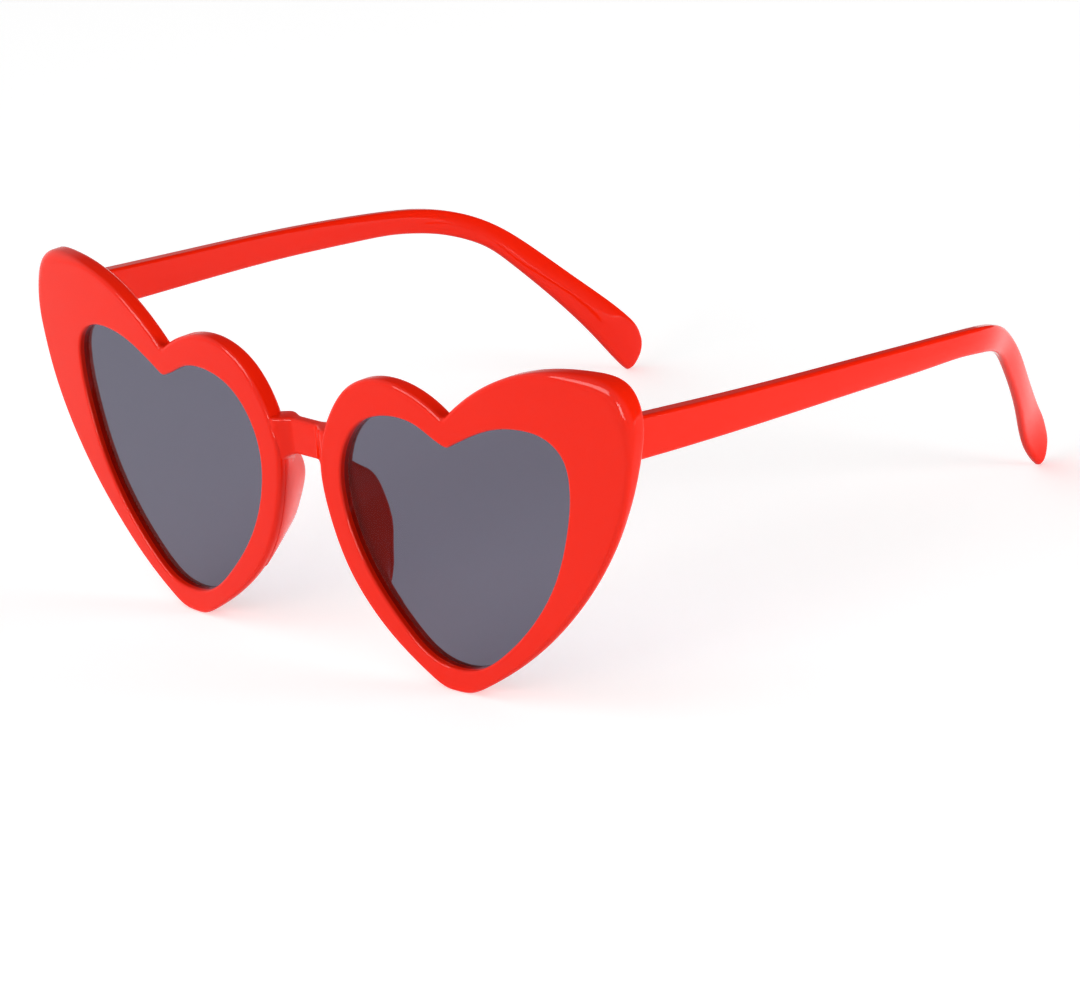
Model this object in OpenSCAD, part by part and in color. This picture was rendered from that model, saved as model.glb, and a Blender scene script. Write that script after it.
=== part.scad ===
// Heart shaped sunglasses: a moulded front with two heart shaped rims, two tinted
// lenses snapped into it, and two temples that fold on small five knuckle hinges.
// Lengths are millimetres. +Z is up, -Y is the face that looks ahead, and the origin
// is on the table under the middle of the open glasses. Each rim and each temple is
// drawn for the +X side with y = 0 at the foremost face, and mirrored for the other.

/* [Front] */
// Distance from the middle plane to the nose side of each rim
rim_near = 5.3; // [4.5:0.1:6.5]
// Width of one heart shaped rim
rim_w = 68.8; // [62:0.2:74]
// Height of one heart shaped rim
rim_h = 63.1; // [58:0.2:70]
// Width of the border beside the nose
border_nose = 4.9; // [4.2:0.1:5.8]
// Width of the border at the wing, on the outer side of the opening
border_wing = 12.6; // [11.5:0.1:15]
// Height of the border under the opening
border_low = 4.4; // [3.5:0.1:6]
// Height of the border over the opening, at the wing
border_top = 11.6; // [10.5:0.1:14]
// Thickness of the front
front_t = 3.8; // [3.6:0.1:4.8]
// Radius of the bend that wraps the front round the face
wrap_r = 461; // [350:1:800]

/* [Lenses] */
// Thickness of a lens
lens_t = 1.2; // [1:0.1:1.4]
// Depth of the lens behind the front face of the rim
lens_set = 1.2; // [0.9:0.1:1.8]
// Depth of the groove that holds the lens
groove_d = 0.9; // [0.5:0.1:1.2]
// Play of the lens in its groove
lens_play = 0.05; // [0.02:0.01:0.1]

/* [Bridge and nose pads] */
// Height of the bridge's lower edge above the table
bridge_low = 36.9; // [34:0.1:40]
// Height of the bridge from edge to edge
bridge_h = 6.7; // [5:0.1:8]
// Depth of the bridge's front face behind the face of the rims
bridge_set = 2; // [0.5:0.1:2.4]
// Thickness of the bridge
bridge_t = 2.6; // [2:0.1:3.5]
// Radius of the corners where the bridge meets the rims
bridge_fillet = 3; // [1.5:0.1:4]
// Height of a nose pad's top above the table
pad_top = 37.4; // [35:0.1:40]
// Length of a nose pad from top to bottom
pad_h = 24.6; // [19:0.1:28]
// Distance that a nose pad stands out behind the rim
pad_out = 6.8; // [4.5:0.1:8.5]
// Distance that a nose pad leans out over the opening
pad_over = 0.9; // [0:0.1:1.2]
// Angle at which a nose pad leans away from the nose
pad_lean = 27; // [20:1:34]
// Depth behind the front face at which the lean begins
pad_start = 3; // [2:0.1:4]

/* [Temples] */
// Length of a temple from its hinge end to the end of the hook, straight back
temple_len = 136; // [120:0.1:145]
// Thickness of a temple from inside to outside, at its hinge end
temple_t = 3.2; // [3:0.1:4]
// Thickness of the hook at its end
hook_t = 2.2; // [2:0.1:3]
// Height of the temple at its hinge end
root_h = 7.5; // [6.8:0.1:9]
// Height of the temple at its slimmest, before the bend
waist_h = 4.7; // [3.6:0.1:5.4]
// Width of the hook that lies behind the ear
hook_h = 8.2; // [6.5:0.1:9.5]
// Radius of the lower corner at the hook's end, on which the temple rests
hook_r = 2.4; // [1.6:0.1:2.8]
// Radius of the upper corner at the hook's end
hook_top_r = 3.5; // [2:0.1:4.5]
// Height of the upright edge between those two corners
hook_edge = 5; // [4:0.1:6]
// Distance that the temple bows outwards in the middle of its length
bow = 2; // [0:0.1:3]
// Distance that the hook's end lies inwards of the widest place
inset = 20.6; // [12:0.1:22]

/* [Hinges] */
// Distance from the top of the rims down to the middle of the hinges
hinge_down = 11.4; // [10.2:0.1:12.7]
// Distance from the wing's outer edge in to the middle of the temple's root
root_in = 2.8; // [2.6:0.1:3.4]
// Height of one knuckle
knuckle_h = 1.2; // [1:0.05:1.3]
// Outer radius of a knuckle
barrel_r = 1.25; // [1.1:0.05:1.5]
// Radius of the hinge screw's shank
screw_r = 0.6; // [0.5:0.05:0.75]
// Radius of the hinge screw's head
head_r = 1.05; // [0.9:0.05:1.1]
// Height of the hinge screw's head
head_h = 0.6; // [0.4:0.05:0.8]
// Thickness of a hinge leaf
leaf_t = 0.9; // [0.7:0.05:1.1]
// Height of the leaf sunk in the front
front_leaf_h = 6.6; // [6:0.1:7]
// Length of the leaf sunk in the front, in from the hinge pin
front_leaf_l = 5.4; // [4.5:0.1:5.8]
// Height of the leaf sunk in the temple
temple_leaf_h = 4.4; // [3.6:0.1:4.8]
// Length of the leaf sunk in the temple, back from the hinge pin
temple_leaf_l = 8; // [6.5:0.1:10]
// Radius of the studs that hold a leaf in the plastic
stud_r = 0.6; // [0.4:0.05:0.7]
// Depth of the studs under a leaf
stud_d = 1.1; // [0.8:0.05:1.3]
// Play between parts of the hinge that slide on each other
play = 0.05; // [0.03:0.01:0.08]
// Play round what is sunk in plastic
seat_play = 0.03; // [0.02:0.01:0.05]
// Gap between the open temple and the front
butt_gap = 0.1; // [0.08:0.01:0.2]

/* [Hidden] */
$fn = 48;

// Overrun of every cut past the faces that it opens
over = 1;
// Steps of a smooth line between two of its points
steps = 4;
// Facets of the wrap's large round faces, as the radius asks for
wrap_fn = 360;

// Rim outline as shares of rim_w and rim_h, from the notch over the wing and round
rim_shares = [[0.438, 0.805], [0.522, 0.882], [0.634, 0.951], [0.751, 0.99],
              [0.866, 0.999], [0.961, 0.975], [1, 0.905], [1, 0.781], [0.967, 0.619],
              [0.888, 0.44], [0.773, 0.274], [0.634, 0.13], [0.508, 0.036], [0.463, 0.01],
              [0.414, 0], [0.367, 0.008], [0.32, 0.035], [0.195, 0.13], [0.078, 0.274],
              [0.016, 0.447], [0.001, 0.6], [0.049, 0.744], [0.129, 0.845], [0.235, 0.882],
              [0.352, 0.859]];
// Opening outline as shares of its own width and height, from the notch round
opening_shares = [[0.499, 0.875], [0.585, 0.927], [0.698, 0.980], [0.815, 1],
                  [0.912, 0.985], [0.979, 0.926], [1, 0.830], [0.977, 0.639],
                  [0.912, 0.431], [0.805, 0.248], [0.669, 0.096], [0.552, 0.015],
                  [0.457, 0], [0.368, 0.019], [0.230, 0.132], [0.094, 0.315],
                  [0.018, 0.501], [0, 0.660], [0.035, 0.798], [0.123, 0.907],
                  [0.250, 0.953], [0.376, 0.938], [0.448, 0.898]];
// Back edge of a nose pad as shares of pad_out and pad_h, from its top down
pad_shares = [[-0.1, 1], [0.36, 0.95], [0.66, 0.88], [0.84, 0.815], [0.97, 0.7],
              [1, 0.58], [0.94, 0.455], [0.8, 0.335], [0.6, 0.21], [0.3, 0.09], [-0.1, 0]];
// Middle line of a temple, from before its hinge end to below the end of the hook: shares
// of temple_len and hinge_z, then of the root's extra height, the hook's extra width, the
// bow and the inset
temple_shares = [[-0.04, 1.011, 1.08, 0, -0.1, 0], [0, 1, 1, 0, 0, 0],
                 [0.219, 0.94, 0.642, 0, 0.746, 0], [0.438, 0.879, 0.336, 0, 1, 0],
                 [0.57, 0.837, 0.137, 0, 1, 0.029], [0.642, 0.81, 0.048, 0, 1, 0.069],
                 [0.682, 0.79, 0.028, 0, 1, 0.105], [0.71, 0.772, 0, 0, 1, 0.153],
                 [0.733, 0.754, 0, 0, 1, 0.21], [0.755, 0.729, 0, 0, 1, 0.274],
                 [0.774, 0.699, 0, 0.037, 1, 0.338], [0.796, 0.656, 0, 0.064, 1, 0.405],
                 [0.821, 0.593, 0, 0.17, 1, 0.483], [0.891, 0.388, 0, 0.472, 1, 0.73],
                 [0.924, 0.282, 0, 0.758, 1, 0.856], [0.953, 0.19, 0, 0.999, 1, 0.952],
                 [0.985, 0.07, 0, 1, 1, 1], [1.009, -0.025, 0, 1, 1, 1]];
// Places of the two studs of a leaf, as shares of the leaf's length
stud_shares = [0.35, 0.8];
// Width of the slot in a screw's head, as a share of the head's radius
slot_share = 0.35;

opening_w = rim_w - border_nose - border_wing;
opening_h = rim_h - border_low - border_top;
opening_x = rim_near + border_nose;
rim_far = rim_near + rim_w;

// Depth to which the bridge's ends run into the rims, and how far they lie inside the
// rims' walls
bridge_reach = 2.2;
bridge_sink = 0.1;
// Step from the rim's back face to where a pad may lean out over the opening
pad_step = 0.3;

// Height of the hinges above the table
hinge_z = rim_h - hinge_down;
// Middle plane of the temple at its root, and its inner face there
root_x = rim_far - root_in;
root_inner = root_x - temple_t / 2;
// Hinge pin, beside the temple's inner face and just behind the seat on the front
pin_x = root_inner - 2 * play - barrel_r;
// Gap between the knuckles and the seat on the front
barrel_gap = 0.15;
// Height of the seat over the back of the wing
seat_proud = 0.2;
// Distance from the wing's edge in to the edge of the seat
seat_in = 0.5;
// Margin of the seat round the temple's end and the leaf
seat_rim = 0.5;
seat_y = wrap_r - sqrt(pow(wrap_r - front_t, 2) - pow(rim_far - seat_in, 2)) + seat_proud;
pin_y = seat_y + barrel_gap + barrel_r;
butt_y = seat_y + butt_gap;
stack_h = 5 * knuckle_h;
stack_z = hinge_z - stack_h / 2;
// Start of the temple's leaf behind the pin's middle
leaf_back = 0.2;

// Back of the hook's end, which is the rearmost face
depth = butt_y + temple_len;
// Fall of the hook below the level, and of the temple behind its hinge
hook_fall = fall(len(temple_shares) - 5, len(temple_shares) - 2);
leaf_tilt = fall(1, 2);
function fall(i, k) = atan2(hinge_z * (temple_shares[i][1] - temple_shares[k][1]),
                            temple_len * (temple_shares[k][0] - temple_shares[i][0]));

// Smooth line through points, by a cubic with chord length tangents
function chord(p, i) = norm(p[i + 1] - p[i]);
function inner_tangent(p, i) =
    let (a = chord(p, i - 1), b = chord(p, i))
    ((p[i + 1] - p[i]) * a / b + (p[i] - p[i - 1]) * b / a) / (a + b);
function tangent(p, i) =
    i == 0 ? 2 * (p[1] - p[0]) / chord(p, 0) - inner_tangent(p, 1) :
    i == len(p) - 1 ? 2 * (p[i] - p[i - 1]) / chord(p, i - 1) - inner_tangent(p, i - 1) :
    inner_tangent(p, i);
function between(p, i, t) =
    (2 * t * t * t - 3 * t * t + 1) * p[i]
    + (t * t * t - 2 * t * t + t) * chord(p, i) * tangent(p, i)
    + (3 * t * t - 2 * t * t * t) * p[i + 1]
    + (t * t * t - t * t) * chord(p, i) * tangent(p, i + 1);
function smooth(p) = [for (i = [0:len(p) - 2]) for (k = [0:steps - 1])
                      between(p, i, k / steps)];
function closed(p) = concat(p, [p[0]]);

// Outlines in the plane of the front, x across and z up
rim_points = smooth(closed([for (s = rim_shares)
                            [rim_near + rim_w * s[0], rim_h * s[1]]]));
opening_points = smooth(closed([for (s = opening_shares)
                                [opening_x + opening_w * s[0],
                                 border_low + opening_h * s[1]]]));

// Middle line of the temple: y, z, width, x and thickness
function temple_row(s) = [butt_y + temple_len * s[0], hinge_z * s[1],
                          waist_h + (root_h - waist_h) * s[2] + (hook_h - waist_h) * s[3],
                          root_x + bow * s[4] - inset * s[5],
                          temple_t + (hook_t - temple_t) * max(s[0], 0)];
temple_rows = [for (s = temple_shares) temple_row(s)];
temple_line = concat(smooth(temple_rows), [temple_rows[len(temple_rows) - 1]]);
side_line = [for (r = temple_line) [r[0], r[1]]];
// The same line seen along the normal of the hook: x, and the distance down the hook
plan_line = [for (r = temple_line)
             [r[3], r[0] * cos(hook_fall) - r[1] * sin(hook_fall)]];

// Unit normal of a line at point i, and a strip of a given half width round the line
function near(p, i) = p[min(max(i, 0), len(p) - 1)];
function normal(p, i) =
    let (d = near(p, i + 1) - near(p, i - 1)) [-d[1], d[0]] / norm(d);
function strip(p, half) =
    concat([for (i = [0:len(p) - 1]) p[i] + half[i] * normal(p, i)],
           [for (i = [len(p) - 1:-1:0]) p[i] - half[i] * normal(p, i)]);

module rim_outline() { polygon(rim_points); }
module opening_outline() { polygon(opening_points); }

// Run a flat outline along Y from one depth to another
module slab(y0, y1) {
    translate([0, y1, 0]) rotate([90, 0, 0]) linear_extrude(y1 - y0) children();
}

// Keep what lies between two depths behind the wrapped front face
module wrapped(d0, d1) {
    intersection() {
        slab(-over, depth / 2) children();
        translate([0, wrap_r, -over]) difference() {
            cylinder(r = wrap_r - d0, h = rim_h + 2 * over, $fn = wrap_fn);
            translate([0, 0, -over])
                cylinder(r = wrap_r - d1, h = rim_h + 4 * over, $fn = wrap_fn);
        }
    }
}

module both_sides() {
    children();
    mirror([1, 0, 0]) children();
}

// Place a piece made from y = 0 at the foremost face so that the origin is in the middle
module placed() { translate([0, -depth / 2, 0]) children(); }

// Bar between the rims with rounded corners, kept to the middle of the front
module bridge_outline() {
    reach = rim_near + bridge_reach;
    intersection() {
        offset(r = -bridge_fillet) offset(delta = bridge_fillet) {
            both_sides() offset(delta = -bridge_sink) rim_outline();
            translate([-reach, bridge_low]) square([2 * reach, bridge_h]);
        }
        translate([-reach, bridge_low - 2 * bridge_fillet])
            square([2 * reach, bridge_h + 4 * bridge_fillet]);
    }
}

// Rim outline seen along the lean, so that a straight run from it slants off the nose
module leaned_outline() {
    polygon([for (p = rim_points)
             [p[0] * cos(pad_lean) - pad_start * sin(pad_lean), p[1]]]);
}

module nose_pad() {
    pad_low = pad_top - pad_h;
    pad_back = front_t + pad_out;
    edge = smooth([for (s = pad_shares) [front_t + pad_out * s[0], pad_low + pad_h * s[1]]]);
    intersection() {
        slab(pad_start - over, pad_back + over) difference() {
            rim_outline();
            offset(delta = -pad_over) opening_outline();
        }
        rotate([0, 0, -pad_lean]) slab(-2 * pad_back, 2 * pad_back) leaned_outline();
        rotate([90, 0, 90]) linear_extrude(opening_x + opening_w / 2)
            polygon(concat(edge, [[pad_start - over, pad_low], [pad_start - over, pad_top]]));
    }
}

// Flat seat behind the wing for the hinge leaf and the temple's end
module hinge_seat() {
    seat_h = root_h + 2 * seat_rim;
    seat_x = pin_x - front_leaf_l - seat_rim;
    intersection() {
        wrapped(front_t / 2, 2 * seat_y) offset(delta = -seat_in) rim_outline();
        translate([seat_x, 0, hinge_z - seat_h / 2])
            cube([rim_far - seat_x, seat_y, seat_h]);
    }
}

module knuckle(i, grow) {
    translate([pin_x, pin_y, stack_z + i * knuckle_h + play / 2 - grow])
        cylinder(r = barrel_r + grow, h = knuckle_h - play + 2 * grow);
}

module pin_hole() {
    translate([pin_x, pin_y, stack_z - over])
        cylinder(r = screw_r + play, h = stack_h + 2 * over);
}

// Plate and studs of the leaf sunk in the front
module front_plate(grow) {
    plate_w = front_leaf_l + barrel_r;
    translate([pin_x - front_leaf_l - grow, seat_y - leaf_t - grow,
               hinge_z - front_leaf_h / 2 - grow])
        cube([plate_w + 2 * grow, leaf_t + grow, front_leaf_h + 2 * grow]);
    for (s = stud_shares)
        translate([pin_x - front_leaf_l * s, seat_y, hinge_z])
            rotate([90, 0, 0]) cylinder(r = stud_r + grow, h = leaf_t + stud_d + grow);
}

// Plate and studs of the leaf sunk in the temple
module temple_plate(grow) {
    translate([root_inner, pin_y, hinge_z]) rotate([-leaf_tilt, 0, 0]) {
        translate([0, leaf_back - grow, -temple_leaf_h / 2 - grow])
            cube([leaf_t + grow, temple_leaf_l + 2 * grow, temple_leaf_h + 2 * grow]);
        for (s = stud_shares)
            translate([0, temple_leaf_l * s, 0])
                rotate([0, 90, 0]) cylinder(r = stud_r + grow, h = leaf_t + stud_d + grow);
    }
}

module front_leaf() {
    color("silver") difference() {
        union() {
            front_plate(0);
            for (i = [0, 2, 4]) {
                knuckle(i, 0);
                translate([pin_x - barrel_r, seat_y - leaf_t / 2,
                           stack_z + i * knuckle_h + play / 2])
                    cube([2 * barrel_r, pin_y - seat_y + leaf_t / 2, knuckle_h - play]);
            }
        }
        pin_hole();
    }
}

module temple_leaf() {
    color("silver") difference() {
        union() {
            temple_plate(0);
            for (i = [1, 3]) {
                knuckle(i, 0);
                translate([pin_x, pin_y + leaf_back, stack_z + i * knuckle_h + play / 2])
                    cube([root_inner - pin_x + leaf_t, barrel_r - leaf_back,
                          knuckle_h - play]);
            }
        }
        pin_hole();
    }
}

module hinge_screw() {
    slot_w = head_r * slot_share;
    color("gainsboro") difference() {
        translate([pin_x, pin_y, stack_z]) {
            cylinder(r = screw_r, h = stack_h);
            translate([0, 0, stack_h]) cylinder(r = head_r, h = head_h);
        }
        translate([pin_x - slot_w / 2, pin_y - head_r - over, stack_z + stack_h + head_h / 2])
            cube([slot_w, 2 * (head_r + over), head_h]);
    }
}

module lens() {
    color([0.22, 0.22, 0.25, 0.75])
        wrapped(lens_set + lens_play, lens_set + lens_t - lens_play)
            offset(delta = groove_d - lens_play) opening_outline();
}

// Rounded end of the hook with an upright edge at the back, and all that lies before it
module hook_corners() {
    spare = hook_r / 4;
    translate([depth - hook_r, hook_r]) {
        rotate(-hook_fall) translate([-2 * temple_len, -temple_len])
            square([2 * temple_len - 1.5 * hook_h, 2 * temple_len]);
        hull() {
            circle(r = hook_r);
            translate([hook_r - hook_top_r, hook_edge]) circle(r = hook_top_r);
            rotate(-hook_fall) translate([-2 * hook_h, -hook_r - spare])
                square([hook_h / 2 + spare, hook_h + 2 * spare]);
        }
    }
}

module temple() {
    side_half = [for (r = temple_line) r[2] / 2];
    plan_half = [for (r = temple_line) r[4] / 2];
    run = depth + hinge_z;
    color("red") difference() {
        intersection() {
            rotate([90, 0, 90]) linear_extrude(rim_far + bow + temple_t) intersection() {
                polygon(strip(side_line, side_half));
                hook_corners();
            }
            rotate([-hook_fall, 0, 0]) translate([0, 0, -run]) linear_extrude(2 * run)
                polygon(strip(plan_line, plan_half));
            translate([0, butt_y, 0]) cube([rim_far + bow + temple_t, depth, rim_h]);
        }
        temple_plate(seat_play);
        translate([root_inner - over, pin_y + leaf_back - seat_play,
                   stack_z + knuckle_h - seat_play])
            cube([over + leaf_t, barrel_r - leaf_back + seat_play,
                  3 * knuckle_h + 2 * seat_play]);
    }
}

module front_frame() {
    color("red") placed() difference() {
        union() {
            both_sides() {
                wrapped(0, front_t) rim_outline();
                nose_pad();
                hinge_seat();
            }
            wrapped(bridge_set, bridge_set + bridge_t) bridge_outline();
        }
        both_sides() {
            wrapped(-over, front_t + pad_step) opening_outline();
            wrapped(lens_set, lens_set + lens_t)
                offset(delta = groove_d) opening_outline();
            front_plate(seat_play);
        }
    }
}

module lens_right() { placed() lens(); }
module lens_left() { placed() mirror([1, 0, 0]) lens(); }
module temple_right() { placed() temple(); }
module temple_left() { placed() mirror([1, 0, 0]) temple(); }
module front_leaf_right() { placed() front_leaf(); }
module front_leaf_left() { placed() mirror([1, 0, 0]) front_leaf(); }
module temple_leaf_right() { placed() temple_leaf(); }
module temple_leaf_left() { placed() mirror([1, 0, 0]) temple_leaf(); }
module hinge_screw_right() { placed() hinge_screw(); }
module hinge_screw_left() { placed() mirror([1, 0, 0]) hinge_screw(); }

front_frame();
lens_right();
lens_left();
temple_right();
temple_left();
front_leaf_right();
front_leaf_left();
temple_leaf_right();
temple_leaf_left();
hinge_screw_right();
hinge_screw_left();
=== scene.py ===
import bpy
import math
import numpy as np
from mathutils import Matrix, Vector


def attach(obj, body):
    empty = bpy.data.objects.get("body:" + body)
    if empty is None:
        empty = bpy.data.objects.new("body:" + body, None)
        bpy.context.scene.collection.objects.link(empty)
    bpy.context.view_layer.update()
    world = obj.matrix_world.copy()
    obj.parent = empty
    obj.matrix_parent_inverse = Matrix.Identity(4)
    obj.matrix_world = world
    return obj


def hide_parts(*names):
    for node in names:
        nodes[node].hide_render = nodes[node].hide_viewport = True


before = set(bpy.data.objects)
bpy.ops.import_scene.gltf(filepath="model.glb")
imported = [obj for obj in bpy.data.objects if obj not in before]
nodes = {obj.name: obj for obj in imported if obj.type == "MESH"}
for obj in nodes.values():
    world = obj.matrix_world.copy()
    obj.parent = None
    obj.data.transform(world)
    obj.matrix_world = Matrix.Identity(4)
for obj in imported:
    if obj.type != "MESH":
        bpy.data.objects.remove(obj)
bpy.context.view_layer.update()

# Sizes are in millimetres, with y = 0 at the foremost face. Pieces are made on the right side.
# Millimetres in a metre
MM = 1000
# Whole depth of the part, and half the width of its front
DEPTH, RIM_FAR = 146.063, 74.1
# Least distance of the visual pieces from the sides of the solids' box
SKIN = 0.02
# Thickness of the front, and the radius that its face is wrapped to
FRONT_T, WRAP_R = 3.8, 461.0

# Outline of the rim: x, z, thickness at the outer edge, rounding of the back edge
RIM_POINTS = [(35.4, 50.8, 3.7, 1.4), (41.1, 55.7, 3.7, 1.4), (48.9, 60.1, 3.9, 1.4),
              (57.0, 62.5, 4.2, 1.4), (64.9, 63.0, 4.6, 1.1), (71.5, 61.5, 4.8, 0.8),
              (74.2, 57.1, 4.5, 0.9), (74.2, 49.2, 3.9, 1.2), (71.9, 39.0, 3.1, 1.7),
              (66.5, 27.7, 2.4, 2.0), (58.6, 17.2, 2.3, 2.0), (49.0, 8.1, 2.5, 2.0),
              (40.3, 2.1, 3.1, 1.5), (37.2, 0.5, 3.6, 1.2), (33.8, -0.1, 3.8, 1.1),
              (30.5, 0.4, 3.7, 1.0), (27.2, 2.1, 3.3, 1.2), (18.6, 8.1, 2.7, 1.6),
              (10.6, 17.2, 3.5, 1.9), (6.2, 28.2, 4.0, 2.0), (5.2, 37.8, 4.0, 1.8),
              (8.5, 46.9, 4.1, 1.2), (14.1, 53.3, 4.0, 1.4), (21.5, 55.7, 3.9, 1.5),
              (29.5, 54.2, 3.9, 1.4)]
# Opening for the lens: its near side, width and height, the border below it, and its outline in
# shares of its width and height
OPENING_X, OPENING_W, OPENING_H, BORDER_LOW = 10.2, 51.3, 47.1, 4.4
OPENING_SHARES = [(0.499, 0.875), (0.585, 0.927), (0.698, 0.980), (0.815, 1.0),
                  (0.912, 0.985), (0.979, 0.926), (1.0, 0.830), (0.977, 0.639),
                  (0.912, 0.431), (0.805, 0.248), (0.669, 0.096), (0.552, 0.015),
                  (0.457, 0.0), (0.368, 0.019), (0.230, 0.132), (0.094, 0.315),
                  (0.018, 0.501), (0.0, 0.660), (0.035, 0.798), (0.123, 0.907),
                  (0.250, 0.953), (0.376, 0.938), (0.448, 0.898)]
# Points round an outline, and round the finer one that is smoothed first
COUNT, FINE = 560, 2400
# Smoothing of both outlines, and of the directions square to them
RIM_SOFT, OPENING_SOFT = 0.42, 0.4
RIM_TURN_SOFT, OPENING_TURN_SOFT = 0.8, 0.9
# Height over which the tip's underside eases onto the floor
TIP_EASE = 0.1
# Rounding of the face's outer edge: at the tip, what comes above it, and what comes at the wing's
# corner, with the bands of height and of x that they grow over
FACE_R, FACE_R_ABOVE, ABOVE_TIP = 0.55, 0.35, (2, 14)
FACE_R_CORNER, CORNER_X, CORNER_Z = 1.3, (56, 69), (48, 58)
# Roundings of the opening's front edge and back edge
LIP_R, BACK_LIP = 0.5, 0.7
# Depth of the outer back edge's rounding as a share of its radius, and the least wall before it
BACK_RUN_SHARE, WALL_LEAST = 1.2, 0.1
# Degrees and shares at which the rim's rings lie, and their depths down the opening's wall
EDGE_ANGLES = (0, 12, 25, 38, 51, 64, 77, 90)
LIP_ANGLES = (90, 78, 66, 54, 42, 30, 18, 0)
BACK_LIP_ANGLES = (18, 36, 54, 72, 90)
FACE_STEPS = (0.03, 0.15, 0.3, 0.45, 0.6, 0.75, 0.88, 0.97)
BACK_STEPS = (0.04, 0.2, 0.4, 0.6, 0.8, 0.96)
WALL_DEPTHS = (0.8, 1.1, 1.5, 2.0, 2.6, FRONT_T - BACK_LIP)
# Band of the back over which its depth goes over to that of the outer edge
BACK_BEVEL = (0.2, 1.0)

# Bridge: its underside, height, depth behind the rims' face, and thickness
BRIDGE_LOW, BRIDGE_H, BRIDGE_SET, BRIDGE_T = 36.9, 6.7, 2.0, 2.6
# How far it goes to each side, and how many sections it has
BRIDGE_HALF, BRIDGE_SECTIONS = 9.4, 109
# Changes of its underside and of its top against the solid
BRIDGE_MORE, BRIDGE_LESS = 0.1, 0.15
# Round flare of the underside: start, run, radius, and the share of the run where it ends
FLARE_START, FLARE_RUN, FLARE_R, FLARE_END = 2.0, 4.1, 3.8, 0.985
# Flares forwards and backwards, and the fade into the rim's back: amount, start and end
FLARE_FRONT, FLARE_BACK, FLARE_FADE = (1.75, 2.6, 6.3), (1.1, 2.4, 5.8), (2.2, 5.6, 9.4)
# Roundings of its front edges and back edges, and the growth of the lower back one
BRIDGE_FRONT_R, BRIDGE_BACK_R, BRIDGE_LOW_R = 0.7, 0.9, (2.2, 3.0, 6.5)

# Back edge of the nose pad: height, x, y
PAD_EDGE = [(37.6, 8.4, 4.6), (36.0, 9.0, 6.4), (34.5, 9.4, 8.3), (33.0, 9.6, 9.4),
            (30.0, 10.1, 10.4), (27.0, 11.0, 10.6), (24.0, 11.9, 10.2), (21.0, 12.6, 9.2),
            (18.0, 13.8, 7.7), (15.2, 15.3, 5.3), (13.2, 17.0, 3.6)]
# Sections of the pad, the distance of the end ones from the edge's ends, and of the next ones
PAD_SECTIONS, PAD_ENDS, PAD_NEXT = 64, 0.02, 0.25
# Depths at which the pad leaves the rim's wall and where its hollow turns outwards
PAD_ROOT, PAD_START = 1.5, 3.3
# How far its root stands out of the rim's wall and reaches into the rim
PAD_PROUD, PAD_SUNK = 0.02, 0.5
# Radius of its back edge: most, least, and as a share of the pad's depth past its start
PAD_R, PAD_R_LEAST, PAD_R_SHARE = 0.9, 0.15, 0.3
# Least run of the hollow before the back edge, and limits of the tangent onto that edge
PAD_RUN_LEAST, TANGENT_GAP, TANGENT_MOST = 0.2, 0.05, 0.95
# Points of the hollow and of the round edge, the angle where that ends, and steps back to the rim
HOLLOW_POINTS, ROUND_POINTS, ROUND_END = 14, 12, -0.35
RETURN_STEPS = (0.2, 0.4, 0.6, 0.8, 1.0)
# Where the pad's lens side meets the rim's back: from the opening, from the wall, below the back
PAD_MEETS, PAD_CLOSES = (0.35, 1.6, 0.3), (-0.1, 1.2, 1.2)

# Hinge seat: middle height, height of the temple's root, depth of its face, and the x it starts at
HINGE_Z, ROOT_H, SEAT_Y, SEAT_NEAR = 51.7, 7.5, 9.963, 62.3
# Distance from the rim's far side, height more than the root's, depth less than the solid's,
# depth of the seat's foot, roundings of its face's edge and corners, and the flat past the edge
SEAT_SIDE, SEAT_MORE, SEAT_LESS, SEAT_FOOT = 1.0, 0.1, 0.06, 7.4
SEAT_EDGE, SEAT_CORNER, SEAT_FLAT = 0.35, 1.0, 0.15
SEAT_ANGLES = (20, 40, 60, 75, 90)

# Lens: thickness, depth behind the face, reach into its groove, and height of its rings' middle
LENS_T, LENS_SET, LENS_REACH, LENS_MID = 1.2, 1.2, 0.45, 1.0
LENS_STEPS = (1.0, 0.995, 0.96, 0.9, 0.8, 0.68, 0.55, 0.42, 0.3, 0.18, 0.08)

# Middle line of the temple: x, y, z, width, thickness
TEMPLE_ROWS = [(71.2, 10.1, 51.8, 7.7, 3.2), (72.7, 39.9, 48.6, 6.5, 3.1),
               (73.2, 69.7, 45.5, 5.6, 2.9), (72.6, 87.5, 43.3, 5.1, 2.8),
               (71.8, 97.4, 41.9, 4.8, 2.75), (71.0, 102.8, 40.8, 4.9, 2.7),
               (69.5, 108.2, 39.3, 4.9, 2.6), (67.6, 112.7, 37.4, 4.9, 2.4),
               (64.9, 118.3, 33.9, 4.9, 2.1), (63.3, 121.8, 30.6, 5.3, 2.0),
               (58.3, 131.3, 20.0, 6.35, 2.1), (55.7, 135.8, 14.6, 7.3, 2.15),
               (53.7, 139.5, 9.8, 8.2, 2.1), (52.8, 142.5, 5.6, 8.0, 2.1),
               (52.8, 144.8, 1.75, 5.0, 2.0)]
# Step along the line while it is smoothed, and smoothing of its places and its directions
LINE_STEP, LINE_SOFT, TURN_SOFT = 0.25, 2.0, 3.0
# Band before the end of the hook over which the smoothing fades out
END_KEPT = (4, 12)
# Close sections at the root, start and step of the others, gap before the hook's end and its own
ROOT_PLACES = (0, 0.06, 0.14, 0.24, 0.36, 0.5)
SECTION_START, SECTION_STEP, END_GAP, END_SECTIONS = 1.5, 1.0, 0.2, 22
# Run over which the sections leave the wing's direction
SQUARE_RUN = (2, 12)
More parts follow.
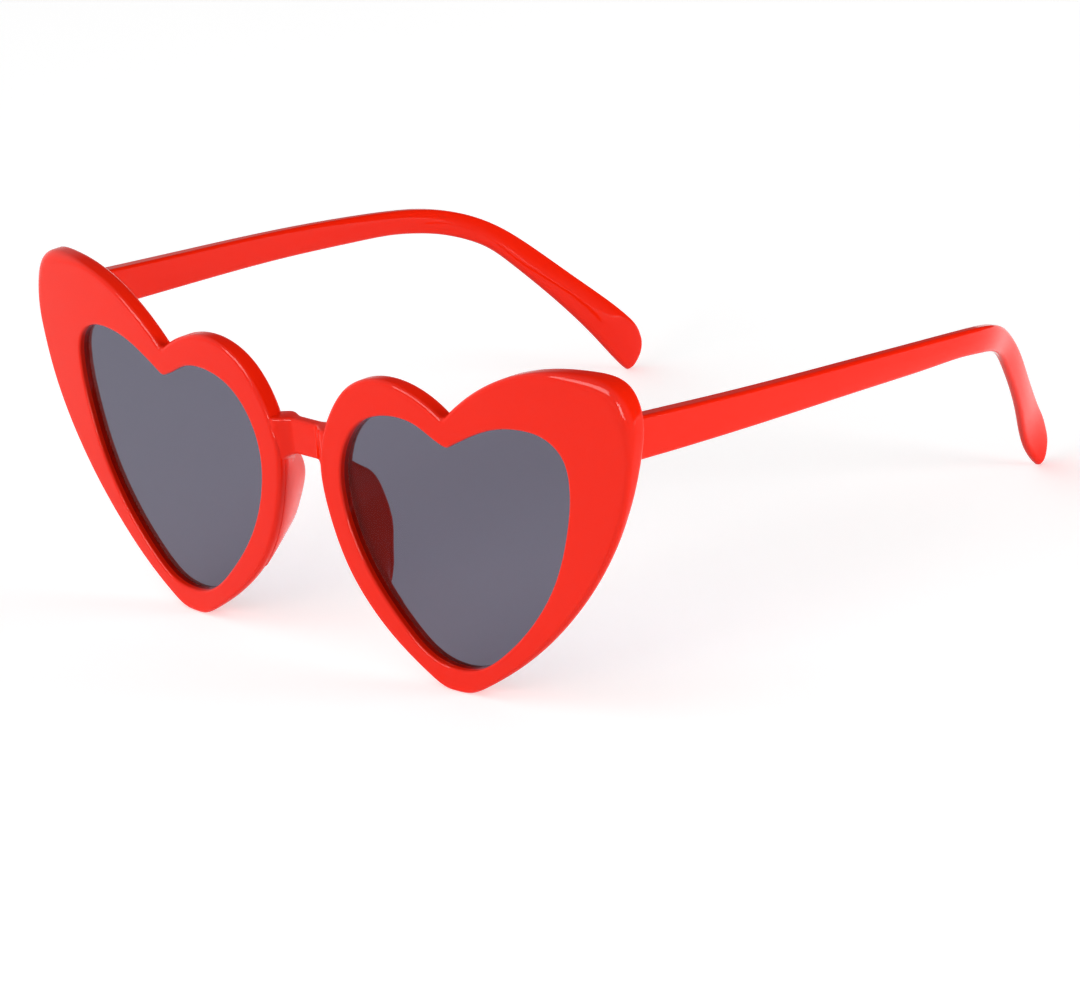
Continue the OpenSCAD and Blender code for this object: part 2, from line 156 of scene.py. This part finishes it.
# Turn of the hook in degrees, and where it starts and ends before the hook's end
HOOK_TURN, TURN_START, TURN_END = 9.4, 42, 18
# Roundings of the hook's end, above and below, and its thinning: length and least share
HOOK_UP_R, HOOK_LOW_R, THIN_RUN, THIN_LEAST = 2.0, 1.9, 1.2, 0.3
# Rounding of the long edges at the root and the hook, and where it changes before the hook's end
TEMPLE_R, HOOK_R, EDGE_START, EDGE_END = 0.6, 0.85, 60, 25
# Long edges right at the root: rounding and the run it grows over; rounding of the butt itself
ROOT_EDGE, ROOT_EDGE_RUN, BUTT_R = 0.22, 0.5, 0.24
# Most of the half thickness that the edges may take
EDGE_MOST = 0.92
# Points along each side of a section
SIDE_STEPS = (0.06, 0.2, 0.35, 0.5, 0.65, 0.8, 0.94)
# Bulge of the broad faces, its share at the root, and the run it grows over
CROWN, CROWN_ROOT, CROWN_RUN = 0.34, 0.15, (5, 100)
# Lean of the hook's end and the length that leans
HOOK_LEAN, LEAN_RUN = -0.51, 9.0


# ---- curves ----

def spline(points, closed=False, per=24):
    """Smooth cubic spline through the points; a closed one has a corner at its start."""
    p = np.array(points, float)
    if closed:
        p = np.vstack([p, p[:1]])
    n = len(p)
    h = np.linalg.norm(np.diff(p[:, :3], axis=0), axis=1)
    a = np.zeros((n, n))
    b = np.zeros((n, p.shape[1]))
    slope = np.diff(p, axis=0) / h[:, None]
    for i in range(1, n - 1):
        a[i, i - 1], a[i, i], a[i, i + 1] = h[i - 1], 2 * (h[i - 1] + h[i]), h[i]
        b[i] = 6 * (slope[i] - slope[i - 1])
    a[0, 0], a[0, 1] = 1, -1
    a[-1, -1], a[-1, -2] = 1, -1
    m = np.linalg.solve(a, b)
    out = []
    for i in range(n - 1):
        t = np.linspace(0, h[i], per, endpoint=False)[:, None]
        out.append(p[i] + t * (slope[i] - h[i] * (2 * m[i] + m[i + 1]) / 6)
                   + t ** 2 * m[i] / 2 + t ** 3 * (m[i + 1] - m[i]) / (6 * h[i]))
    out = np.vstack(out)
    return out if closed else np.vstack([out, p[-1:]])


def read_off(places, run, rows):
    """Rows that lie at some places of a run, read off at other places of it."""
    return np.column_stack([np.interp(places, run, rows[:, k]) for k in range(rows.shape[1])])


def resample(p, n, closed):
    """n points at even steps along a line."""
    q = np.vstack([p, p[:1]]) if closed else p
    s = np.r_[0, np.cumsum(np.linalg.norm(np.diff(q[:, :2], axis=0), axis=1))]
    return read_off(np.linspace(0, s[-1], n, endpoint=not closed), s, q)


def blurred(padded, k, sigma):
    """Gaussian smoothing of rows that have k more rows before and after them."""
    w = np.exp(-0.5 * (np.arange(-k, k + 1) / sigma) ** 2)
    w /= w.sum()
    return np.column_stack([np.convolve(padded[:, c], w, "valid") for c in range(padded.shape[1])])


def soften(p, sigma, step):
    """Smoothing of a closed line of even steps."""
    k = int(max(1, round(3 * sigma / step)))
    return blurred(np.vstack([p[-k:], p, p[:k]]), k, sigma / step)


def even_out(p, sigma):
    """Smoothing of an open line, which goes on straight past its ends."""
    k = int(3 * sigma)
    return blurred(np.vstack([2 * p[:1] - p[k:0:-1], p, 2 * p[-1:] - p[-2:-k - 2:-1]]), k, sigma)


def normals(p, sigma):
    """Unit normals of a closed clockwise outline, pointing outwards, evened out round corners."""
    d = np.roll(p[:, :2], -1, 0) - np.roll(p[:, :2], 1, 0)
    step = np.linalg.norm(d, axis=1).mean() / 2
    d /= np.linalg.norm(d, axis=1)[:, None]
    n = soften(np.column_stack([-d[:, 1], d[:, 0]]), sigma, step)
    return n / np.linalg.norm(n, axis=1)[:, None]


def heart(points, sigma):
    """Outline of a heart, with as many points on one side of the tip as on the other."""
    fine = resample(spline(points, True), FINE, True)
    fine = soften(fine, sigma, np.linalg.norm(fine[1, :2] - fine[0, :2]))
    low = int(np.argmin(fine[:, 1]))
    sides = (fine[:low + 1], np.vstack([fine[low:], fine[:1]]))
    return np.vstack([resample(side, COUNT // 2 + 1, False)[:-1] for side in sides])


def smoothstep(x, a, b):
    t = np.clip((x - a) / (b - a), 0, 1)
    return t * t * (3 - 2 * t)


def growth(x, amount, a, b):
    """What has grown at x, out of an amount that grows from a to b."""
    return amount * smoothstep(x, a, b)


def drawn_in(r, d):
    """How far a rounding of radius r has drawn in, at a distance d from the end that it rounds."""
    return r - math.sqrt(max(0, r ** 2 - (r - d) ** 2)) if d < r else 0.0


def wrap(x, d):
    """Depth of the surface that lies d behind the wrapped front face."""
    return SKIN + WRAP_R - np.sqrt((WRAP_R - d) ** 2 - np.asarray(x) ** 2)


# ---- shells: vertices and faces ----

def flipped(shell):
    """The shell in the mirror, for the left side."""
    v, f = shell
    return np.array(v) * np.array([-1, 1, 1]), [face[::-1] for face in f]


def outward(v, f):
    """The shell with its faces turned so that they look outwards."""
    tri = np.array([(face[0], face[i], face[i + 1]) for face in f for i in range(1, len(face) - 1)])
    vol = np.einsum("ij,ij->", v[tri[:, 0]], np.cross(v[tri[:, 1]], v[tri[:, 2]]))
    return (v, f) if vol > 0 else (v, [tuple(face[::-1]) for face in f])


def band(rows, m, n):
    """Faces from the rings of some rows to the next ones, out of m rings of n points each."""
    return [(i * n + j, i * n + (j + 1) % n, (i + 1) % m * n + (j + 1) % n, (i + 1) % m * n + j)
            for i in rows for j in range(n)]


def torus(rings):
    """Closed band: every ring joins the next, and the last joins the first."""
    m, n = len(rings), len(rings[0])
    return outward(np.vstack(rings), band(range(m), m, n))


def tube(rings):
    """Rings joined in a row, closed at both ends by a fan round the middle."""
    m, n = len(rings), len(rings[0])
    v = np.vstack(list(rings) + [rings[0].mean(0)[None], rings[-1].mean(0)[None]])
    f = band(range(m - 1), m, n)
    a, b = m * n, m * n + 1
    f += [(a, (j + 1) % n, j) for j in range(n)]
    f += [(b, (m - 1) * n + j, (m - 1) * n + (j + 1) % n) for j in range(n)]
    return outward(v, f)


def round_box(u0, u1, v0, v1, radii, per=8):
    """Ring round a box with round corners, whose radii go round from the one at (u1, v1)."""
    ring = []
    for k, r in enumerate(radii):
        cu = u1 - r if k in (0, 3) else u0 + r
        cv = v1 - r if k in (0, 1) else v0 + r
        for a in np.radians(np.linspace(90 * k, 90 * k + 90, per)):
            ring.append((cu + r * math.cos(a), cv + r * math.sin(a)))
    return np.array(ring)


# ---- front: two rims, bridge, nose pads, hinge seats ----

rim_line = heart(RIM_POINTS, RIM_SOFT)
open_line = heart([(OPENING_X + OPENING_W * a, BORDER_LOW + OPENING_H * b, 0)
                   for a, b in OPENING_SHARES], OPENING_SOFT)[:, :2]
rim_t, rim_r, rim_line = rim_line[:, 2], rim_line[:, 3], rim_line[:, :2]
rim_n, open_n = normals(rim_line, RIM_TURN_SOFT), normals(open_line, OPENING_TURN_SOFT)
rim_line[:, 1] = SKIN + np.logaddexp(0, (rim_line[:, 1] - SKIN) / TIP_EASE) * TIP_EASE
face_r = (FACE_R + growth(rim_line[:, 1], FACE_R_ABOVE, *ABOVE_TIP)
          + growth(rim_line[:, 0], FACE_R_CORNER, *CORNER_X) * smoothstep(rim_line[:, 1], *CORNER_Z))


def at(line, depth):
    """Points of an outline put at a depth behind the wrapped face."""
    return np.column_stack([line[:, 0], wrap(line[:, 0], depth), line[:, 1]])


def rounding(line, inward, angles, surface, run):
    """Rings round an edge, at 0 degrees on the wall and at 90 on the surface that it meets."""
    return [at(line + inward * (1 - math.cos(a)), surface + run * (1 - math.sin(a)))
            for a in np.radians(angles)]


def rim_shell():
    face_in, back_in = -rim_n * face_r[:, None], -rim_n * rim_r[:, None]
    back_run = np.minimum(rim_r * BACK_RUN_SHARE, rim_t - face_r - WALL_LEAST)
    rings = rounding(rim_line, face_in, EDGE_ANGLES, 0.0, face_r)
    outer, inner = rim_line + face_in, open_line + open_n * LIP_R
    rings += [at(outer * (1 - t) + inner * t, 0.0) for t in FACE_STEPS]
    rings += rounding(open_line, open_n * LIP_R, LIP_ANGLES, 0.0, LIP_R)
    rings += [at(open_line, d) for d in WALL_DEPTHS]
    rings += rounding(open_line, open_n * BACK_LIP, BACK_LIP_ANGLES, FRONT_T, -BACK_LIP)
    outer, inner = rim_line + back_in, open_line + open_n * BACK_LIP
    rings += [at(inner * (1 - t) + outer * t, FRONT_T + growth(t, rim_t - FRONT_T, *BACK_BEVEL))
              for t in BACK_STEPS]
    rings += rounding(rim_line, back_in, EDGE_ANGLES[::-1], rim_t, -back_run)
    return torus(rings)


def bridge_shell():
    """Bar that flares into both rims: down, forwards and backwards."""
    rings = []
    for x in np.linspace(-BRIDGE_HALF, BRIDGE_HALF, BRIDGE_SECTIONS):
        side = abs(x)
        t = np.clip((side - FLARE_START) / FLARE_RUN, 0, FLARE_END)
        z0 = BRIDGE_LOW - BRIDGE_MORE - FLARE_R * (1 - math.sqrt(1 - t * t))
        z1 = BRIDGE_LOW + BRIDGE_H - BRIDGE_LESS
        y0 = BRIDGE_SET - growth(side, *FLARE_FRONT)
        y1 = BRIDGE_SET + BRIDGE_T + growth(side, *FLARE_BACK) - growth(side, *FLARE_FADE)
        radii = (BRIDGE_BACK_R, BRIDGE_FRONT_R, BRIDGE_FRONT_R,
                 BRIDGE_BACK_R + growth(side, *BRIDGE_LOW_R))
        ring = round_box(y0, y1, z0, z1, radii)
        rings.append(np.column_stack([np.full(len(ring), x), ring[:, 0] + float(wrap(x, 0)),
                                      ring[:, 1]]))
    return tube(rings)


def side_x(line, z):
    """x of an outline at a height, on its nose side."""
    q = np.vstack([line, line[:1]])
    xs = []
    for a, b in zip(q[:-1], q[1:]):
        if (a[1] - z) * (b[1] - z) <= 0 and a[1] != b[1]:
            xs.append(a[0] + (z - a[1]) / (b[1] - a[1]) * (b[0] - a[0]))
    return min(xs)


def pad_shell():
    """Nose pad: it leans back and away from the nose, with a round back edge."""
    path = spline(PAD_EDGE)[::-1]
    low, high = path[0, 0], path[-1, 0]
    rings = []
    for z in np.r_[low + PAD_ENDS, np.linspace(low + PAD_NEXT, high - PAD_NEXT, PAD_SECTIONS),
                   high - PAD_ENDS]:
        bx, by = (float(np.interp(z, path[:, 0], path[:, k])) for k in (1, 2))
        xo, xi = side_x(rim_line, z), side_x(open_line, z)
        base = float(wrap(xo, 0))
        rho = min(PAD_R, max(PAD_R_LEAST, (by - PAD_START) * PAD_R_SHARE))
        c = np.array([bx, by - base - rho])
        # a hollow from the rim's wall to the tangent of the round back edge
        p0 = np.array([xo - PAD_PROUD, PAD_ROOT])
        p1 = np.array([xo - PAD_PROUD, min(PAD_START, by - base - PAD_RUN_LEAST)])
        run = c - p1
        far = max(np.linalg.norm(run), rho + TANGENT_GAP)
        a0 = (math.atan2(run[1], run[0]) + math.asin(min(TANGENT_MOST, rho / far))
              + math.pi / 2)
        arc = [c + rho * np.array([math.cos(a), math.sin(a)])
               for a in np.linspace(a0, ROUND_END, ROUND_POINTS)]
        ring = [np.array([xo + PAD_SUNK, PAD_ROOT])]
        ring += [p0 * (1 - t) ** 2 + p1 * 2 * t * (1 - t) + arc[0] * t * t
                 for t in np.linspace(0, 1, HOLLOW_POINTS)]
        ring += arc[1:]
        # and back to the rim beside the lens
        end, last = (np.array([max(xi + a, xo + b), FRONT_T - d])
                     for a, b, d in (PAD_MEETS, PAD_CLOSES))
        ring += [arc[-1] * (1 - t) + end * t for t in RETURN_STEPS]
        ring = np.array(ring + [last])
        rings.append(np.column_stack([ring[:, 0], ring[:, 1] + base, np.full(len(ring), z)]))
    return tube(rings)


def seat_shell():
    """Flat seat behind the wing, with round edges."""
    far, half = RIM_FAR - SEAT_SIDE, ROOT_H / 2 + SEAT_MORE
    top, r = SEAT_Y - SEAT_LESS, SEAT_EDGE
    levels = [(SEAT_FOOT, 0.0), (top - r, 0.0)]
    levels += [(top - r + r * math.sin(a), r * (1 - math.cos(a))) for a in np.radians(SEAT_ANGLES)]
    levels += [(top, r + SEAT_FLAT)]
    rings = []
    for y, inset in levels:
        q = round_box(SEAT_NEAR + inset, far - inset, HINGE_Z - half + inset,
                      HINGE_Z + half - inset, [SEAT_CORNER - inset] * 4)
        rings.append(np.column_stack([q[:, 0], np.full(len(q), y), q[:, 1]]))
    return tube(rings)


def lens_shell():
    edge = open_line + open_n * LENS_REACH
    mid = np.array([edge[:, 0].mean(), edge[:, 1].mean() + LENS_MID])
    face, back = ([at(mid + (edge - mid) * s, depth) for s in LENS_STEPS]
                  for depth in (LENS_SET, LENS_SET + LENS_T))
    return tube(face[::-1] + back)


# ---- temples ----

def temple_line():
    """Places along the temple, with point, width and thickness there, and its whole length."""
    line = spline(TEMPLE_ROWS, False, 40)
    run = np.r_[0, np.cumsum(np.linalg.norm(np.diff(line[:, :3], axis=0), axis=1))]
    total = run[-1]
    even = np.arange(0, total, LINE_STEP)
    flow = even_out(read_off(even, run, line[:, :3]), LINE_SOFT / LINE_STEP)
    keep = smoothstep(total - run, *END_KEPT)[:, None]
    line[:, :3] += keep * (read_off(run, even, flow) - line[:, :3])
    # closer sections where the ends round off
    far = max(HOOK_UP_R, HOOK_LOW_R)
    places = np.r_[ROOT_PLACES, np.arange(SECTION_START, total - far - END_GAP, SECTION_STEP),
                   total - far * np.cos(np.radians(np.linspace(0, 90, END_SECTIONS)))]
    rows = read_off(places, run, line)
    way = np.gradient(rows[:, :3], places, axis=0)
    way = read_off(places, even, even_out(read_off(even, places, way), TURN_SOFT / LINE_STEP))
    return places, rows, way / np.linalg.norm(way, axis=1)[:, None], total


def section_ways(t, u, total):
    """Directions of a section's height and thickness, for the line's direction t at the place u."""
    n0 = np.array([0, -t[2], t[1]])
    b = np.cross(t, n0 / np.linalg.norm(n0))
    b /= np.linalg.norm(b)
    n = np.cross(b, t)
    # square to the wing at the hinge end
    k = 1 - smoothstep(u, *SQUARE_RUN)
    n = n * (1 - k) + np.array([0, 0, 1.0]) * k
    b = b * (1 - k) + np.array([math.copysign(1.0, b[0]), 0, 0]) * k
    n, b = n / np.linalg.norm(n), b / np.linalg.norm(b)
    turn = math.radians(HOOK_TURN) * float(smoothstep(u, total - TURN_START, total - TURN_END))
    return n * math.cos(turn) - b * math.sin(turn), b * math.cos(turn) + n * math.sin(turn)


def temple_shell():
    rings = []
    places, rows, ways, total = temple_line()
    for u, row, t in zip(places, rows, ways):
        n, b = section_ways(t, u, total)
        back = total - u
        butt = drawn_in(BUTT_R, u)
        up = row[3] / 2 - drawn_in(HOOK_UP_R, back) - butt
        low = row[3] / 2 - drawn_in(HOOK_LOW_R, back) - butt
        thin = 1.0 - drawn_in(1.0, back / THIN_RUN)
        half_t = row[4] / 2 * (THIN_LEAST + (1 - THIN_LEAST) * thin) - butt
        r = TEMPLE_R + growth(u, HOOK_R - TEMPLE_R, total - EDGE_START, total - EDGE_END)
        r = ROOT_EDGE + (r - ROOT_EDGE) * min(1, u / ROOT_EDGE_RUN)
        r = min(r, half_t * EDGE_MOST)
        q = round_box(-half_t, half_t, -low, up, [r] * 4)
        full = []
        for i, corner in enumerate(np.split(q, 4)):
            start, end = corner[-1], q[(i + 1) * len(corner) % len(q)]
            full += [*corner, *(start * (1 - s) + end * s for s in SIDE_STEPS)]
        full = np.array(full)
        # the broad faces bulge more towards the hook, and the end leans
        bulge = CROWN * (CROWN_ROOT + growth(u, 1 - CROWN_ROOT, *CROWN_RUN))
        full[:, 0] *= 1 - bulge * (full[:, 1] / max(up, low)) ** 2
        lean = growth(LEAN_RUN - back, HOOK_LEAN, 0, LEAN_RUN)
        rings.append(row[:3] + full[:, :1] * b + full[:, 1:] * n + full[:, 1:] * lean * t)
    return tube(rings)


# ---- pieces ----

def put(name, shells, body, node):
    """One object of several closed shells, each (vertices in mm, faces)."""
    verts, faces = [], []
    for v, f in shells:
        base = len(verts)
        verts.extend(map(tuple, (np.array(v, float) - np.array([0, DEPTH / 2, 0])) / MM))
        faces.extend([tuple(base + i for i in face) for face in f])
    mesh = bpy.data.meshes.new(name)
    mesh.from_pydata(verts, [], faces)
    mesh.update()
    mesh.polygons.foreach_set("use_smooth", [True] * len(mesh.polygons))
    obj = bpy.data.objects.new(name, mesh)
    bpy.context.scene.collection.objects.link(obj)
    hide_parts(node)
    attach(obj, body)
    return obj


shells = [bridge_shell()]
for shell in (rim_shell(), pad_shell(), seat_shell()):
    shells += [shell, flipped(shell)]
front = put("front_moulding", shells, "front", "front_frame")
lens = lens_shell()
lens_r = put("lens_pane_right", [lens], "front", "lens_right")
lens_l = put("lens_pane_left", [flipped(lens)], "front", "lens_left")
temple = temple_shell()
arm_r = put("temple_arm_right", [temple], "temple_right", "temple_right")
arm_l = put("temple_arm_left", [flipped(temple)], "temple_left", "temple_left")


# ---- materials ----

# Band of a noise's values over which the looks vary
NOISE_BAND = (0.3, 0.7)


def spread(tree, fac, lo, hi, lo_out, hi_out):
    r = tree.nodes.new("ShaderNodeMapRange")
    r.inputs["From Min"].default_value = lo
    r.inputs["From Max"].default_value = hi
    r.inputs["To Min"].default_value = lo_out
    r.inputs["To Max"].default_value = hi_out
    tree.links.new(fac, r.inputs["Value"])
    return r.outputs["Result"]


def ramp(tree, fac, stops):
    r = tree.nodes.new("ShaderNodeValToRGB")
    e = r.color_ramp.elements
    e[0].position, e[0].color = stops[0][0], (*stops[0][1], 1)
    e[1].position, e[1].color = stops[-1][0], (*stops[-1][1], 1)
    for pos, col in stops[1:-1]:
        el = e.new(pos)
        el.color = (*col, 1)
    tree.links.new(fac, r.inputs["Fac"])
    return r.outputs["Color"]


def material(name, tone, colours, gloss, rough, relief=None, rise=(0, 0), stretch=(1, 1, 1),
             **values):
    """Material whose colour and roughness vary between two values each.

    tone, gloss and relief are the noises that colour, roughness and relief follow, each as
    (scale, detail, roughness), stretch is their scale along the axes, rise is the relief's
    strength and distance, and the other values are the shader's own."""
    made = bpy.data.materials.new(name)
    made.use_nodes = True
    tree = made.node_tree
    shader = tree.nodes["Principled BSDF"]
    place = tree.nodes.new("ShaderNodeMapping")
    place.inputs["Scale"].default_value = stretch
    tree.links.new(tree.nodes.new("ShaderNodeTexCoord").outputs["Object"], place.inputs["Vector"])

    def noise(settings):
        n = tree.nodes.new("ShaderNodeTexNoise")
        for socket, value in zip(("Scale", "Detail", "Roughness"), settings):
            n.inputs[socket].default_value = value
        tree.links.new(place.outputs["Vector"], n.inputs["Vector"])
        return n.outputs["Fac"]

    colour = ramp(tree, noise(tone), list(zip(NOISE_BAND, colours)))
    tree.links.new(colour, shader.inputs["Base Color"])
    tree.links.new(spread(tree, noise(gloss), *NOISE_BAND, *rough), shader.inputs["Roughness"])
    if relief:
        bump = tree.nodes.new("ShaderNodeBump")
        bump.inputs["Strength"].default_value, bump.inputs["Distance"].default_value = rise
        tree.links.new(noise(relief), bump.inputs["Height"])
        tree.links.new(bump.outputs["Normal"], shader.inputs["Normal"])
    for socket, value in values.items():
        shader.inputs[socket.replace("_", " ")].default_value = value
    return made


red = material("red_gloss", (22.0, 2.0, 0.4), ((0.84, 0.0125, 0.0015), (0.87, 0.0155, 0.0025)),
               (160.0, 4.0, 0.6), (0.018, 0.04), relief=(420.0, 3.0, 0.5), rise=(0.03, 0.0002),
               IOR=1.46, Specular_IOR_Level=0.2)
tint = material("tinted_polycarbonate", (9.0, 1.0, 0.3),
                ((0.148, 0.143, 0.187), (0.156, 0.151, 0.197)),
                (90.0, 3.0, 0.5), (0.0, 0.02), Transmission_Weight=1.0, IOR=1.14)
grain = (1800.0, 4.0, 0.6)
steel = material("hinge_steel", grain, ((0.50, 0.50, 0.51), (0.66, 0.66, 0.67)),
                 grain, (0.22, 0.38), relief=grain, rise=(0.08, 0.0001),
                 stretch=(1.0, 1.0, 14.0), Metallic=1.0)
turned = (2600.0, 3.0, 0.6)
bright = material("screw_nickel", turned, ((0.66, 0.65, 0.63), (0.78, 0.77, 0.75)),
                  turned, (0.12, 0.24), Metallic=1.0)


def wear(mat, *objects):
    for obj in objects:
        obj.data.materials.clear()
        obj.data.materials.append(mat)


wear(red, front, arm_r, arm_l, nodes["front_frame"])
wear(tint, lens_r, lens_l)
for side in ("right", "left"):
    wear(steel, nodes["front_leaf_" + side], nodes["temple_leaf_" + side])
    wear(bright, nodes["hinge_screw_" + side])
    wear(red, nodes["temple_" + side])
    wear(tint, nodes["lens_" + side])


# ---- floor and world ----

# Half side of the floor in metres, its grey, and its own light, which is seen but lights nothing
FLOOR_HALF, FLOOR_GREY, FLOOR_GLOW = 6, 0.9, 0.40
# Strengths of the world where it is seen, where gloss mirrors it, and where it lights the object
SEEN, MIRRORED, LIT = 1.0, 1.15, 1.25
# Axis behind and above, and grey against the angle to it for gloss and for light: the first stop
# is straight away from the axis and the last one along it
BEHIND = (0.25, 0.80, 0.55)
GLOSS_STOPS = [(0.0, 0.9), (0.3, 1.0), (0.52, 1.0), (0.66, 0.6), (0.78, 0.08), (1.0, 0.03)]
LIGHT_STOPS = [(0.0, 0.55), (0.3, 0.8), (0.5, 1.0), (0.66, 0.65), (0.78, 0.3), (1.0, 0.2)]
# Less light comes from the right front, so that the lips round the lenses stay in shade
RIGHT_FRONT = (0.80, -0.55, 0.25)
SHADE_STOPS = [(0.0, 1.0), (0.7, 1.0), (0.85, 0.35), (1.0, 0.15)]


def joined(tree, operation, first, second):
    """Outcome of an operation on two values, the second of which may be a plain number."""
    n = tree.nodes.new("ShaderNodeMath")
    n.operation = operation
    tree.links.new(first, n.inputs[0])
    if isinstance(second, float):
        n.inputs[1].default_value = second
    else:
        tree.links.new(second, n.inputs[1])
    return n.outputs[0]


def glowing(tree, kind, strength):
    """White shader of a kind that gives light."""
    n = tree.nodes.new(kind)
    n.inputs["Color"].default_value = (1, 1, 1, 1)
    n.inputs["Strength"].default_value = strength
    return n


plane = bpy.data.meshes.new("floor")
corners = [(x * FLOOR_HALF, y * FLOOR_HALF, 0) for x, y in ((-1, -1), (1, -1), (1, 1), (-1, 1))]
plane.from_pydata(corners, [], [(0, 1, 2, 3)])
floor = bpy.data.objects.new("floor", plane)
bpy.context.scene.collection.objects.link(floor)
pale = bpy.data.materials.new("pale_floor")
pale.use_nodes = True
t = pale.node_tree
t.nodes.clear()
path = t.nodes.new("ShaderNodeLightPath").outputs
seen = joined(t, "MAXIMUM", path["Is Camera Ray"],
              joined(t, "MAXIMUM", path["Is Transmission Ray"], path["Is Glossy Ray"]))
glow = glowing(t, "ShaderNodeEmission", FLOOR_GLOW)
t.links.new(joined(t, "MULTIPLY", seen, FLOOR_GLOW), glow.inputs["Strength"])
matte = t.nodes.new("ShaderNodeBsdfDiffuse")
matte.inputs["Color"].default_value = (FLOOR_GREY, FLOOR_GREY, FLOOR_GREY, 1)
add = t.nodes.new("ShaderNodeAddShader")
t.links.new(matte.outputs[0], add.inputs[0])
t.links.new(glow.outputs[0], add.inputs[1])
t.links.new(add.outputs[0], t.nodes.new("ShaderNodeOutputMaterial").inputs["Surface"])
plane.materials.append(pale)

world = bpy.data.worlds.new("studio")
bpy.context.scene.world = world
world.use_nodes = True
t = world.node_tree
t.nodes.clear()
path = t.nodes.new("ShaderNodeLightPath").outputs


def toward(axis, stops):
    """Grey that follows the angle to an axis."""
    dot = t.nodes.new("ShaderNodeVectorMath")
    dot.operation = "DOT_PRODUCT"
    dot.inputs[1].default_value = axis
    t.links.new(t.nodes.new("ShaderNodeTexCoord").outputs["Generated"], dot.inputs[0])
    share = spread(t, dot.outputs["Value"], -1.0, 1.0, 0.0, 1.0)
    return ramp(t, share, [(place, (grey, grey, grey)) for place, grey in stops])


def sky(strength, colour=None):
    n = glowing(t, "ShaderNodeBackground", strength)
    if colour:
        t.links.new(colour, n.inputs["Color"])
    return n.outputs[0]


def mixed(fac, first, second):
    """The first shader where fac is 0, or nothing, and the second where it is 1."""
    n = t.nodes.new("ShaderNodeMixShader")
    t.links.new(fac, n.inputs["Fac"])
    if first:
        t.links.new(first, n.inputs[1])
    t.links.new(second, n.inputs[2])
    return n.outputs[0]


# White is what is seen straight or through a lens, and not by way of a mirror image
seen = joined(t, "MAXIMUM", path["Is Camera Ray"], path["Is Transmission Ray"])
straight = joined(t, "MULTIPLY", seen, joined(t, "LESS_THAN", path["Glossy Depth"], 0.5))
light = mixed(toward(RIGHT_FRONT, SHADE_STOPS), None, sky(LIT, toward(BEHIND, LIGHT_STOPS)))
other = mixed(path["Is Diffuse Ray"], sky(MIRRORED, toward(BEHIND, GLOSS_STOPS)), light)
t.links.new(mixed(straight, other, sky(SEEN)),
            t.nodes.new("ShaderNodeOutputWorld").inputs["Surface"])


# ---- lamps and camera ----

# Point in metres that the lamps look at
AIM = (0, 0, 0.03)
# Camera as solved from the photograph: degrees, place in metres, focal length in its pixels
AZIMUTH, ELEVATION, ROLL = 44.642, 20.910, -4.674
CAMERA_PLACE = (0.53768, -0.48478 - DEPTH / 2 / MM, 0.30271)
FOCAL, PHOTO_WIDTH, SENSOR = 4381.4, 1080, 36


def softbox(name, place, size, power, lights=True, mirrors=True):
    """Lamp that lights or is mirrored, or both, and is never seen itself."""
    data = bpy.data.lights.new(name, "AREA")
    data.shape = "RECTANGLE"
    data.size, data.size_y = size
    data.energy = power
    lamp = bpy.data.objects.new(name, data)
    bpy.context.scene.collection.objects.link(lamp)
    lamp.location = place
    lamp.rotation_euler = (Vector(AIM) - Vector(place)).to_track_quat("-Z", "Y").to_euler()
    lamp.visible_diffuse, lamp.visible_glossy, lamp.visible_transmission = lights, mirrors, mirrors
    lamp.visible_camera = False


softbox("gloss_top", (-0.12, -1.03, 0.72), (0.90, 0.5), 14.0, lights=False)
softbox("gloss_side", (0.78, -0.98, 0.22), (0.26, 0.36), 4.6, lights=False)
softbox("left", (-0.1, -1.85, 0.5), (0.9, 0.9), 16.0, mirrors=False)
softbox("right", (1.15, 0.50, 0.16), (0.6, 0.3), 12.0, mirrors=False)

azimuth, elevation, roll = map(math.radians, (AZIMUTH, ELEVATION, ROLL))
back = Vector((math.sin(azimuth) * math.cos(elevation), -math.cos(azimuth) * math.cos(elevation),
               math.sin(elevation)))
level = Vector((math.cos(azimuth), math.sin(azimuth), 0))
upright = back.cross(level)
right = level * math.cos(roll) + upright * math.sin(roll)
up = upright * math.cos(roll) - level * math.sin(roll)
cam_data = bpy.data.cameras.new("camera")
cam_data.sensor_width = SENSOR
cam_data.lens = FOCAL / PHOTO_WIDTH * SENSOR
cam = bpy.data.objects.new("camera", cam_data)
bpy.context.scene.collection.objects.link(cam)
cam.matrix_world = Matrix([*zip(right, up, back, CAMERA_PLACE), (0, 0, 0, 1)])
bpy.context.scene.camera = cam
bpy.context.scene.view_settings.view_transform = "Standard"
